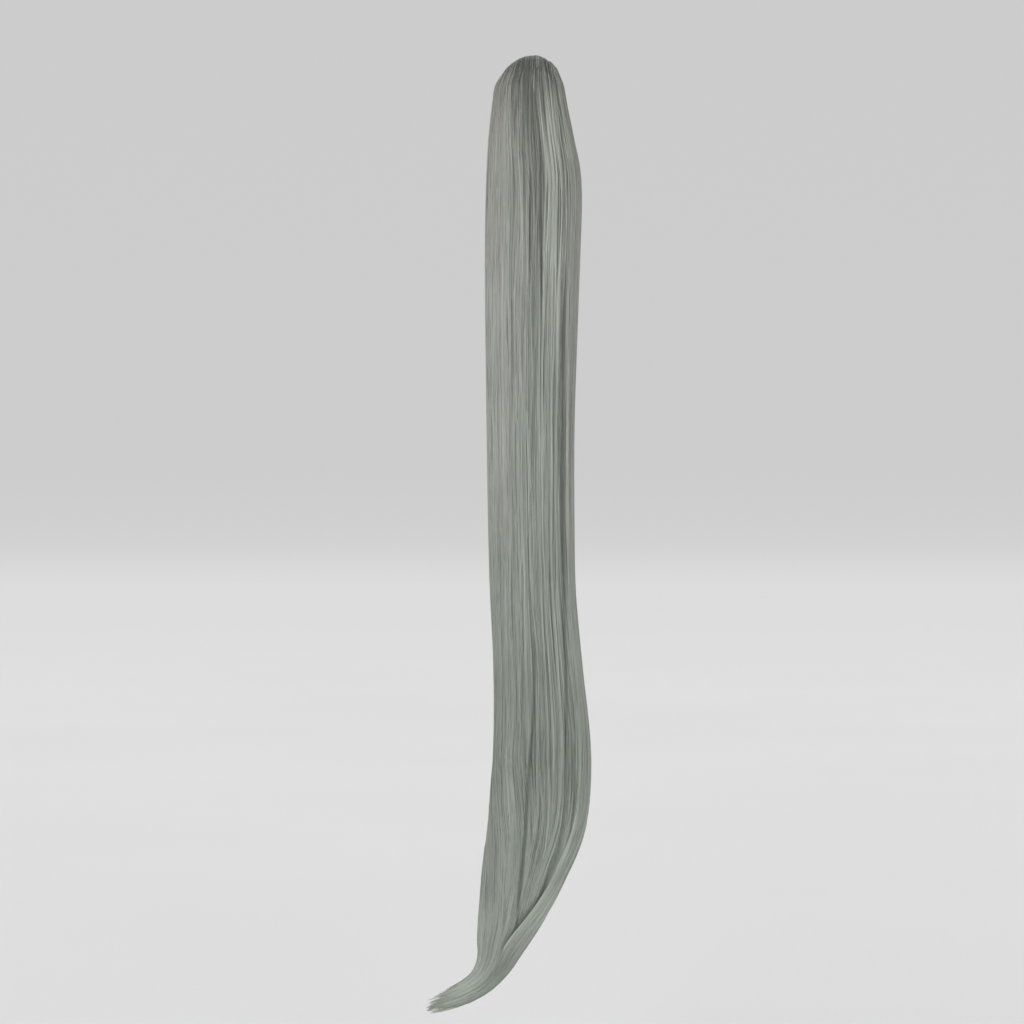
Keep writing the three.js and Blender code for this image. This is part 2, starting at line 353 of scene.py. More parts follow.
LOCKS = (
    Lock(Face.OUTER_RIGHT, 4, 6, 0.17, 0.3, 0.972, -0.9, 0.2, 0.6, 0.5, 0.3),
    Lock(Face.OUTER_RIGHT, 24, 4, 0.15, 1.0, 0.962, -1.1, 0.12, 0.6, 0.5, 0.3),
    Lock(Face.OUTER_RIGHT, 46, 4, 0.19, 0.4, 0.978, -1.4, 0.04, 0.8, 0.1, 0.05),
    Lock(Face.OUTER_MIDDLE, 61, 2, 0.15, 1.7, 0.99, -0.7, 0.06, 0.8, 0.1, 0.0),
    Lock(Face.OUTER_MIDDLE, 76, -2, 0.17, 0.5, 0.97, 1.6, 0.05, 1.0, 0.1, 0.0),
    Lock(Face.OUTER_MIDDLE, 90, -6, 0.16, 1.6, 0.994, -0.6, 0.05, 1.0, 0.2, 0.05),
    Lock(Face.OUTER_MIDDLE, 104, -4, 0.15, 0.6, 0.983, 0.2, 0.05, 1.0, 0.3, 0.1),
    Lock(Face.OUTER_LEFT, 118, -2, 0.19, 1.2, 1.0, -1.5, 0.08, 0.6, 0.6, 0.1),
    Lock(Face.OUTER_LEFT, 137, -2, 0.29, 0.8, 0.99, -3.0, 0.08, 0.25, 0.9, 0.1),
    Lock(Face.OUTER_LEFT, 160, 0, 0.22, 0.5, 1.0, -1.8, 0.15, 0.25, 0.9, 0.6),
    Lock(Face.INNER_LEFT, 180, 4, 0.2, -0.2, 0.985, -1.5, 0.35, 0.4, 0.8, 0.6),
    Lock(Face.INNER_LEFT, 204, 2, 0.22, 0.4, 0.98, -1.5, 0.2, 0.6, 0.6, 0.4),
    Lock(Face.INNER_LEFT, 228, 0, 0.22, 0.4, 0.966, -0.8, -0.05, 1.0, 0.5, 0.3),
    Lock(Face.INNER_LEFT, 252, 3, 0.22, 1.5, 0.985, 0.0, 0.1, 0.8, 0.4, 0.2),
    Lock(Face.INNER_RIGHT, 276, 0, 0.23, 0.3, 0.958, 0.0, -0.1, 1.0, 0.3, 0.2),
    Lock(Face.INNER_RIGHT, 301, -3, 0.23, 1.4, 0.99, 0.0, 0.35, 0.8, 0.3, 0.2),
    Lock(Face.INNER_RIGHT, 332, -2, 0.2, 0.0, 0.965, -0.6, 0.5, 0.8, 0.4, 0.2),
)


@dataclass(frozen=True)
class FoldRow:
    """One row of the lock that folds over the outer face near the end, by its distance from the tip."""

    from_tip: float
    around: float
    half_width: float
    lift: float
    # How light the fold is there: partly its own tone and partly painted light and shade.
    shade: float


FOLD_ROWS = (
    FoldRow(430, 6, 8, -1.2, 0.3),
    FoldRow(350, 8, 10, 0.4, 0.2),
    FoldRow(270, 15, 11, 1.8, 0.18),
    FoldRow(215, 19, 10.5, 2.6, 0.55),
    FoldRow(190, 28, 10.5, 2.8, 0.85),
    FoldRow(160, 39, 11.5, 2.7, 0.7),
    FoldRow(130, 50, 12.5, 2.0, 0.25),
    FoldRow(105, 55, 12.5, 1.1, 0.05),
    FoldRow(80, 58, 12, 0.5, 0.4),
    FoldRow(35, 60, 10.5, 0.2, 1.1),
    FoldRow(4, 62, 8, 0.0, 1.1),
)


@dataclass
class FoldLock:
    """The lock that leaves the right edge near the end and folds over the outer face."""

    fall: Fall
    strands: int = 420
    stations: int = 34
    wisps: int = 8
    tufts: int = 3
    ragged_start: float = 40.0
    least_half: float = 0.5
    streak: float = 1.4
    warm: float = 0.1
    warm_low: float = 0.1

    @property
    def start(self) -> float:
        """Where along the hair the fold begins."""
        return self.fall.length - FOLD_ROWS[0].from_tip

    def read(self, name: str, at: np.ndarray) -> np.ndarray:
        """Reads one column of the fold's rows.

        Args:
            name: The column.
            at: Places along the hair.

        Returns:
            The column's values there.
        """
        knots = np.array([self.fall.length - row.from_tip for row in FOLD_ROWS])
        values = np.array([getattr(row, name) for row in FOLD_ROWS], float)
        return smooth(knots, values, np.clip(at, knots[0], self.fall.length))

    def shade_at(self, at: np.ndarray) -> np.ndarray:
        """How light the fold is at places along the hair."""
        return self.read("shade", at)

    def course(self, at: np.ndarray) -> Bearing:
        """The fold's way along the hair.

        Args:
            at: Places along it.

        Returns:
            The fold's angle, half width and lift at those places, with no width where it isn't.
        """
        inside = (at >= self.start) & (at <= self.fall.length)
        half_width = np.where(inside, np.maximum(self.read("half_width", at), self.least_half), 0.0)
        return self.read("around", at), half_width, self.read("lift", at)


@dataclass(frozen=True)
class GrooveRow:
    """One point of a parting on the outer face: its height and side, half width, and how far it shows."""

    height: float
    side: float
    half_width: float
    show: float


@dataclass(frozen=True)
class Groove:
    """A parting where strands sink and are painted with shade, or, with a negative shade, a lock painted
    with the light it catches.
    """

    rows: tuple[GrooveRow, ...]
    depth: float
    shade: float

    @classmethod
    def of(cls, *rows: tuple[float, float, float, float], shade: float, depth: float = 0.0) -> Self:
        """A groove through rows of height, side, half width and show, from the top down."""
        return cls(tuple(GrooveRow(*row) for row in rows), depth, shade)

    def near(self, height: np.ndarray, side: np.ndarray) -> np.ndarray:
        """How strongly the groove acts.

        Args:
            height: Heights of places on the outer face.
            side: Their sideways places.

        Returns:
            The share of the groove's depth and shade that each place takes.
        """
        rows = self.rows[::-1]
        heights = [row.height for row in rows]
        middle, half, show = (
            np.interp(height, heights, [getattr(row, name) for row in rows])
            for name in ("side", "half_width", "show")
        )
        inside = (height >= heights[0] - half) & (height <= heights[-1] + half)
        return show * np.exp(-(((side - middle) / half) ** GROOVE_SHARPNESS)) * inside


# Painted shade in the partings and creases of the outer face, and painted light on its lit locks.
GROOVES = (
    # The long parting beside the right strip, with painted shade in it.
    Groove.of(
        (66, 14, 2.4, 1.0), (50, 24, 3.6, 1.4), (40, 29, 3.4, 1.3), (30, 31, 2.8, 1.1),
        (19, 32.5, 2.2, 0.9), (-24, 38, 2.5, 0.7), (-105, 41, 2.5, 0.4), (-170, 41, 3.5, 0.5),
        (-226, 40, 4.4, 0.9), (-420, 38.6, 4.4, 1.05), (-560, 40.5, 3.2, 1.0), (-705, 44, 2.2, 1.0),
        (-826, 42, 2.0, 1.0), (-874, 37, 2.4, 0.85), (-905, 28, 2.2, 0.75), (-940, 13, 2.0, 0.6),
        (-965, 0, 2.0, 0.0), depth=1.3, shade=0.4,
    ),
    # The raised wisp beside it, with painted light, and the thin parting on its other side, with painted
    # shade.
    Groove.of(
        (-190, 46, 1.6, 0.0), (-270, 45, 1.8, 1.0), (-450, 44, 1.8, 1.0), (-620, 47, 1.8, 0.0),
        depth=-0.6, shade=-0.12,
    ),
    Groove.of((-200, 50, 1.4, 0.0), (-330, 48, 1.8, 1.0), (-560, 49, 1.4, 0.0), depth=0.8, shade=0.15),
    # The partings between the gathered wisps at the top of the arch, with painted shade in them.
    Groove.of((66, 5, 1.6, 0.9), (44, 9, 2.6, 1.0), (18, 12, 1.8, 0.0), depth=1.7, shade=0.6),
    Groove.of((66, -7.5, 2.0, 1.0), (40, -6.5, 1.9, 0.7), (15, -6, 1.6, 0.0), depth=1.5, shade=0.6),
    Groove.of((22, -15, 1.4, 0.0), (0, -17.5, 1.8, 0.9), (-40, -20, 1.5, 0.0), depth=0.8, shade=0.35),
    # The parting down the middle of the upper fall, with painted shade in it.
    Groove.of(
        (-20, 12, 1.6, 0.0), (-60, 12.6, 1.7, 0.9), (-150, 13, 1.8, 1.1), (-200, 13.3, 1.7, 0.8),
        (-270, 14, 1.4, 0.0), depth=1.6, shade=0.7,
    ),
    # The partings down the middle of the lower fall, with painted shade in them.
    Groove.of(
        (-600, 3.5, 1.6, 0.0), (-660, 5, 1.9, 0.8), (-715, 5, 2.0, 1.0), (-760, 1.5, 2.2, 1.0),
        (-800, -2.5, 2.3, 1.0), (-850, -4.5, 2.3, 1.0), (-898, -8.5, 2.3, 1.0), (-977, -16, 2.3, 1.0),
        depth=1.4, shade=0.48,
    ),
    Groove.of(
        (-540, -9, 1.4, 0.0), (-640, -8.5, 1.7, 1.0), (-780, -9, 1.6, 0.3), (-850, -11, 1.5, 0.0),
        depth=0.9, shade=0.3,
    ),
    # The crease where the middle strands run in under the folded lock, and one beside it, with painted
    # shade.
    Groove.of(
        (-730, 52, 1.6, 0.0), (-778, 53.4, 1.7, 0.4), (-826, 53, 1.7, 0.45), (-862, 49.5, 1.8, 0.45),
        (-890, 43.5, 2.0, 0.5), (-913, 35, 2.8, 0.65), (-943, 12, 6.0, 1.0), (-972, -7, 7.5, 1.2),
        (-989, -24, 4.5, 0.6), (-1008, -40, 2.0, 0.0), depth=2.8, shade=0.9,
    ),
    Groove.of(
        (-940, -29, 1.2, 0.0), (-958, -30.5, 1.6, 1.0), (-985, -33, 1.2, 0.0), depth=1.0, shade=0.4,
    ),
    # Painted light on the lower edge of the end, as if lit from the pale ground.
    Groove.of(
        (-920, 40, 7, 0.0), (-950, 25, 7, 0.7), (-994, 0, 7, 1.0), (-1036, -29, 7, 1.0),
        (-1067, -66, 9, 1.0), (-1079, -97, 9, 0.3), shade=-0.14,
    ),
    # The middle of the swept end painted darker, and its points painted lighter.
    Groove.of(
        (-985, -8, 6, 0.0), (-1008, -21.6, 7, 1.0), (-1025, -33.6, 7, 1.0), (-1039, -45.6, 6, 0.7),
        (-1056, -62, 5, 0.0), shade=0.2,
    ),
    Groove.of((-1045, -60, 8, 0.0), (-1060, -77, 10, 1.0), (-1072, -100, 10, 0.3), shade=-0.15),
    # The broad smooth lock down the left and a shorter one low down, with painted light where they catch
    # it.
    Groove.of((10, -34, 13, 0.3), (-120, -34, 15, 1.0), (-430, -34, 15, 0.6), shade=-0.1),
    Groove.of((-860, -26, 8, 0.2), (-915, -29, 8, 1.0), (-965, -31, 7, 0.2), shade=-0.06),
    # Painted shade over the middle and left of the arch, painted light on the wisps to its right, and the
    # lower left, lower middle and lower right painted darker, with one low wisp painted lighter.
    Groove.of((44, -22, 9, 0.3), (20, -31, 9, 1.0), (-40, -36, 10, 0.0), shade=0.15),
    Groove.of(
        (70, -3, 24, 0.75), (45, -1, 20, 1.5), (20, 0, 17, 1.5), (-60, 2, 18, 0.5), (-180, 4, 16, 0.2),
        (-330, 4, 14, 0.0), shade=0.34,
    ),
    Groove.of(
        (40, 24, 6, 0.0), (15, 25, 8, 1.35), (-180, 29, 12, 0.85), (-330, 30, 12, 0.0), shade=-0.26,
    ),
    Groove.of((-480, -38, 16, 0.0), (-640, -36, 16, 1.0), (-930, -50, 13, 2.0), shade=0.1),
    Groove.of((-640, 3, 14, 0.0), (-770, 1, 18, 1.0), (-880, -4, 14, 0.2), shade=0.14),
    Groove.of((-620, 47, 7, 0.0), (-740, 48, 8, 0.8), (-860, 43, 7, 0.0), shade=0.17),
    Groove.of((-880, 6, 5, 0.0), (-930, 1.5, 5, 1.0), (-968, -7, 3, 0.0), shade=-0.15),
)

# How sharply a parting's sides fall, and how fast partings fade where the outline turns to the inner face.
GROOVE_SHARPNESS = 4
GROOVE_FADE = 3.0


def part_at_grooves(point: np.ndarray, around: np.ndarray) -> tuple[np.ndarray, np.ndarray]:
    """How far strands on the outer face sink into the partings near them, and the light and shade painted
    on them.

    Args:
        point: Places of the strands, in the part's frame.
        around: Their angles round the section, in degrees.

    Returns:
        The depth they sink, in millimetres, and their painted shade, which is negative for painted light.
    """
    height, side = point[..., 2], point[..., 0]
    outward = np.clip(np.sin(np.radians(around)) * GROOVE_FADE + 1.0, 0, 1)
    sunk, painted_groove_shade = np.zeros_like(height), np.zeros_like(height)
    for groove in GROOVES:
        near = groove.near(height, side) * outward
        sunk += groove.depth * near
        painted_groove_shade += groove.shade * near
    return sunk, painted_groove_shade


def corner_map(*corners: tuple[np.ndarray, np.ndarray]) -> np.ndarray:
    """Map coordinates of faces, from the pair of coordinates of each corner."""
    return np.stack([np.stack(np.broadcast_arrays(*corner), -1) for corner in corners], -2)


def new_mesh(name: str, points: np.ndarray, faces: list[np.ndarray], maps: list[np.ndarray]) -> Piece:
    """Makes a smooth mesh object from arrays and links it to the scene.

    Args:
        name: The piece's name.
        points: Vertices in millimetres, one row each.
        faces: Arrays of faces, each array with one number of corners.
        maps: The corners' map coordinates, one array for each array of faces.

    Returns:
        The new object.
    """
    mesh = bpy.data.meshes.new(name)
    mesh.vertices.add(len(points))
    mesh.vertices.foreach_set("co", (points * MM).astype(np.float32).ravel())
    corners = np.concatenate([f.ravel() for f in faces]).astype(np.int32)
    sizes = np.concatenate([np.full(len(f), f.shape[1]) for f in faces])
    mesh.loops.add(len(corners))
    mesh.loops.foreach_set("vertex_index", corners)
    mesh.polygons.add(len(sizes))
    mesh.polygons.foreach_set("loop_start", (np.cumsum(sizes) - sizes).astype(np.int32))
    mesh.update(calc_edges=True)
    layer = mesh.uv_layers.new(name=MAP_NAME)
    places = np.concatenate([m.reshape(-1, 2) for m in maps])
    layer.data.foreach_set("uv", places.astype(np.float32).ravel())
    mesh.validate()
    mesh.shade_smooth()
    piece = bpy.data.objects.new(name, mesh)
    bpy.context.scene.collection.objects.link(piece)
    return piece


def settle(piece: Piece, finish: bpy.types.Material, slot: Slot, *nodes: str) -> None:
    """Gives a piece its finish, lets it ride on the body, and reports it.

    Args:
        piece: The piece.
        finish: Its material.
        slot: The record's slot for it; not used.
        nodes: The CAD nodes that it stands for.
    """
    piece.data.materials.append(finish)
    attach(piece, BODY)
    if nodes:
        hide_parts(*nodes)
    triangles = sum(len(p.vertices) - 2 for p in piece.data.polygons)
    log.info("piece %s: %d triangles", piece.name, triangles)


def fill_ramp(ramp: bpy.types.Node, stops: Stops) -> None:
    """Sets the stops of a colour ramp.

    Args:
        ramp: The ramp's node.
        stops: Pairs of place and colour, from low to high.
    """
    elements = ramp.color_ramp.elements
    while len(elements) < len(stops):
        elements.new(1.0)
    for element, (place, colour) in zip(elements, stops):
        element.position = place
        element.color = (*colour, 1.0)


@dataclass(frozen=True)
class Grain:
    """A pattern of noise: how much finer it is along each axis, and how many finer layers it has."""

    stretch: Triple
    detail: float


class NodeSketch:
    """A material's node tree with short ways to add and join nodes."""

    MIX_FIRST = 6
    MIX_SECOND = 7
    MIX_RESULT = 2
    NOISE_LOW = 0.25
    NOISE_HIGH = 0.75

    def __init__(self, name: str) -> None:
        """Starts a material with a Principled shader.

        Args:
            name: The material's name.
        """
        self.material = bpy.data.materials.new(name)
        self.material.use_nodes = True
        self.tree = self.material.node_tree
        self.shader = self.tree.nodes["Principled BSDF"]

    def node(self, kind: str, **settings: object) -> bpy.types.Node:
        """Adds a node.

        Args:
            kind: The node's type.
            settings: Its properties.

        Returns:
            The new node.
        """
        made = self.tree.nodes.new(kind)
        for key, value in settings.items():
            setattr(made, key, value)
        return made

    def join(self, start: Socket, end: Socket) -> None:
        """Links an output to an input."""
        self.tree.links.new(start, end)

    def ramp(self, value: Socket, stops: Stops) -> Socket:
        """Reads a value through a colour ramp.

        Args:
            value: The output to read.
            stops: Pairs of place and colour, from low to high.

        Returns:
            The ramp's colour output.
        """
        made = self.node("ShaderNodeValToRGB")
        fill_ramp(made, stops)
        self.join(value, made.inputs["Fac"])
        return made.outputs["Color"]

    def mix(self, first: Socket, second: Socket, share: Socket | None = None) -> Socket:
        """Mixes two colours, or multiplies them.

        Args:
            first: One colour's output.
            second: The other's.
            share: The output that says how much of the second there is, or None to multiply them.

        Returns:
            The result's output.
        """
        kind = "MULTIPLY" if share is None else "MIX"
        made = self.node("ShaderNodeMix", data_type="RGBA", blend_type=kind)
        made.inputs["Factor"].default_value = 1.0
        if share is not None:
            self.join(share, made.inputs["Factor"])
        self.join(first, made.inputs[self.MIX_FIRST])
        self.join(second, made.inputs[self.MIX_SECOND])
        return made.outputs[self.MIX_RESULT]

    def noise(self, vector: Socket, grain: Grain) -> Socket:
        """Adds noise over stretched coordinates.

        Args:
            vector: The coordinates' output.
            grain: The noise's pattern.

        Returns:
            The noise's output.
        """
        mapping = self.node("ShaderNodeMapping")
        mapping.inputs["Scale"].default_value = grain.stretch
        self.join(vector, mapping.inputs["Vector"])
        made = self.node("ShaderNodeTexNoise")
        made.inputs["Scale"].default_value = 1.0
        made.inputs["Detail"].default_value = grain.detail
        self.join(mapping.outputs["Vector"], made.inputs["Vector"])
        return made.outputs["Fac"]

    def spread(self, value: Socket, low: float, high: float) -> Socket:
        """Spreads the usual range of a noise value over another range.

        Args:
            value: The value's output.
            low: The new range's low end.
            high: Its high end.

        Returns:
            The new value's output.
        """
        made = self.node("ShaderNodeMapRange")
        made.inputs["From Min"].default_value = self.NOISE_LOW
        made.inputs["From Max"].default_value = self.NOISE_HIGH
        made.inputs["To Min"].default_value = low
        made.inputs["To Max"].default_value = high
        self.join(value, made.inputs["Value"])
        return made.outputs["Result"]

    def map_place(self) -> tuple[Socket, Socket, Socket]:
        """Reads the colour map.

        Returns:
            The outputs of the place on the map, of its place across, and of its place along.
        """
        place = self.node("ShaderNodeUVMap", uv_map=MAP_NAME).outputs["UV"]
        split = self.node("ShaderNodeSeparateXYZ")
        self.join(place, split.inputs["Vector"])
        return place, split.outputs["X"], split.outputs["Y"]


@dataclass(frozen=True)
class FibreFinish:
    """Satin fibre: its kind and its tone, painted light and shade included, are read across the map, and
    how it changes from root to tip, with painted shade at the root, along it.

    green and warm hold the darkest and lightest colour. A third of the map is green, a third turns from
    warm to green on its way down, and a third is warm.
    """

    name: str
    green: tuple[Colour, Colour] = ((0.115, 0.128, 0.112), (0.375, 0.405, 0.365))
    warm: tuple[Colour, Colour] = ((0.125, 0.126, 0.118), (0.395, 0.4, 0.38))
    # How the colour changes from root to tip: painted shade makes it darkest at the root, over the top of
    # the arch, and it is a little darker low down and paler at the very end.
    along: Stops = (
        (0.0, (0.56, 0.55, 0.52)),
        (0.06, (0.73, 0.72, 0.69)),
        (0.12, (0.94, 0.93, 0.9)),
        (0.25, (1.0, 1.0, 0.985)),
        (0.5, (0.98, 0.995, 0.97)),
        (0.72, (0.905, 0.935, 0.9)),
        (0.93, (0.915, 0.945, 0.91)),
        (1.0, (1.06, 1.1, 1.05)),
    )
    ends: Pair = (0.04, 0.96)
    roughness: Pair = (0.38, 0.5)
    rough_grain: Grain = Grain((190.0, 60.0, 1.0), 3.0)
    speckle: Pair = (0.86, 1.14)
    speckle_grain: Grain = Grain((30.0, 16.0, 1.0), 2.0)
    specular: float = 0.4

    def thirds(self, *kinds: tuple[Colour, Colour]) -> Stops:
        """The stops of a ramp that holds three kinds of fibre side by side, each from dark to light.

        Args:
            kinds: The darkest and lightest colour of each kind.

        Returns:
            The stops.
        """
        return tuple(
            ((number + place) / len(kinds), colour)
            for number, kind in enumerate(kinds)
            for place, colour in zip(self.ends, kind)
        )

    def material(self) -> bpy.types.Material:
        """Builds the material.

        Returns:
            The material.
        """
        sketch = NodeSketch(self.name)
        place, across, down = sketch.map_place()
        above = sketch.ramp(across, self.thirds(self.green, self.warm, self.warm))
        below = sketch.ramp(across, self.thirds(self.green, self.green, self.warm))
        tone = sketch.mix(above, below, sketch.spread(down, 0.0, 1.0))
        # Painted shade at the root, from the ramp along the hair.
        along = sketch.ramp(down, self.along)
        fine = sketch.noise(place, self.rough_grain)
        broken = sketch.spread(sketch.noise(place, self.speckle_grain), *self.speckle)
        colour = sketch.mix(sketch.mix(tone, along), broken)
        sketch.join(colour, sketch.shader.inputs["Base Color"])
        sketch.join(sketch.spread(fine, *self.roughness), sketch.shader.inputs["Roughness"])
        sketch.shader.inputs["Specular IOR Level"].default_value = self.specular
        return sketch.material


@dataclass(frozen=True)
class PaintedShadeFinish:
    """Painted shade of the hair below the surface locks, streaked along its length and darker at its root.
    """

    name: str
    dark: Colour = (0.1, 0.107, 0.096)
    light: Colour = (0.25, 0.264, 0.238)
    # Painted shade, darkest at the root.
    along: Stops = ((0.0, (0.5, 0.5, 0.48)), (0.06, (0.62, 0.62, 0.6)), (0.14, (1.0, 1.0, 1.0)))
    streaks: Grain = Grain((260.0, 9.0, 1.0), 4.0)
    roughness: float = 0.6
    specular: float = 0.2

    def material(self) -> bpy.types.Material:
        """Builds the material.

        Returns:
            The material.
        """
        sketch = NodeSketch(self.name)
        place, _, down = sketch.map_place()
        streaks = sketch.spread(sketch.noise(place, self.streaks), 0.0, 1.0)
        colour = sketch.ramp(streaks, ((0.0, self.dark), (1.0, self.light)))
        colour = sketch.mix(colour, sketch.ramp(down, self.along))
        sketch.join(colour, sketch.shader.inputs["Base Color"])
        sketch.shader.inputs["Roughness"].default_value = self.roughness
        sketch.shader.inputs["Specular IOR Level"].default_value = self.specular
        return sketch.material


@dataclass(frozen=True)
class PlasticFinish:
    """Matte moulded plastic with a fine moulded grain."""

    name: str
    dark: Colour = (0.085, 0.088, 0.086)
    light: Colour = (0.125, 0.13, 0.126)
    cloud: Grain = Grain((60.0, 60.0, 60.0), 3.0)
    roughness: Pair = (0.34, 0.5)
    grain: Grain = Grain((2600.0, 2600.0, 2600.0), 2.0)
    grain_strength: float = 0.12
    grain_height: float = 0.0002

    def material(self) -> bpy.types.Material:
        """Builds the material.

        Returns:
            The material.
        """
        sketch = NodeSketch(self.name)
        place = sketch.node("ShaderNodeTexCoord").outputs["Object"]
        cloud = sketch.noise(place, self.cloud)
        grain = sketch.noise(place, self.grain)
        colour = sketch.ramp(sketch.spread(cloud, 0.0, 1.0), ((0.0, self.dark), (1.0, self.light)))
        sketch.join(colour, sketch.shader.inputs["Base Color"])
        sketch.join(sketch.spread(cloud, *self.roughness), sketch.shader.inputs["Roughness"])
        bump = sketch.node("ShaderNodeBump")
        bump.inputs["Strength"].default_value = self.grain_strength
        bump.inputs["Distance"].default_value = self.grain_height
        sketch.join(grain, bump.inputs["Height"])
        sketch.join(bump.outputs["Normal"], sketch.shader.inputs["Normal"])
        return sketch.material


@dataclass(frozen=True)
class FloorFinish:
    """Pale matte studio floor with a faint mottling, which fades to the pale surroundings."""

    name: str
    dark: Colour = (0.745, 0.745, 0.745)
    light: Colour = (0.765, 0.765, 0.765)
    cloud: Grain = Grain((0.7, 0.7, 0.7), 2.0)
    roughness: float = 0.9
    specular: float = 0.1
    far_glow: float = 0.72
    fade: Pair = (5.0, 22.0)

    def material(self) -> bpy.types.Material:
        """Builds the material.

        Returns:
            The material.
        """
        sketch = NodeSketch(self.name)
        place = sketch.node("ShaderNodeTexCoord").outputs["Object"]
        cloud = sketch.noise(place, self.cloud)
        colour = sketch.ramp(sketch.spread(cloud, 0.0, 1.0), ((0.0, self.dark), (1.0, self.light)))
        sketch.join(colour, sketch.shader.inputs["Base Color"])
        sketch.shader.inputs["Roughness"].default_value = self.roughness
        sketch.shader.inputs["Specular IOR Level"].default_value = self.specular
        distance = sketch.node("ShaderNodeVectorMath", operation="LENGTH")
        sketch.join(place, distance.inputs[0])
        far = sketch.node("ShaderNodeMapRange", interpolation_type="SMOOTHSTEP")
        far.inputs["From Min"].default_value, far.inputs["From Max"].default_value = self.fade
        sketch.join(distance.outputs["Value"], far.inputs["Value"])
        glow = sketch.node("ShaderNodeEmission")
        glow.inputs["Color"].default_value = (self.far_glow, self.far_glow, self.far_glow, 1.0)
        blend = sketch.node("ShaderNodeMixShader")
        sketch.join(far.outputs["Result"], blend.inputs["Fac"])
        sketch.join(sketch.shader.outputs["BSDF"], blend.inputs[1])
        sketch.join(glow.outputs["Emission"], blend.inputs[2])
        sketch.join(blend.outputs["Shader"], sketch.tree.nodes["Material Output"].inputs["Surface"])
        return sketch.material


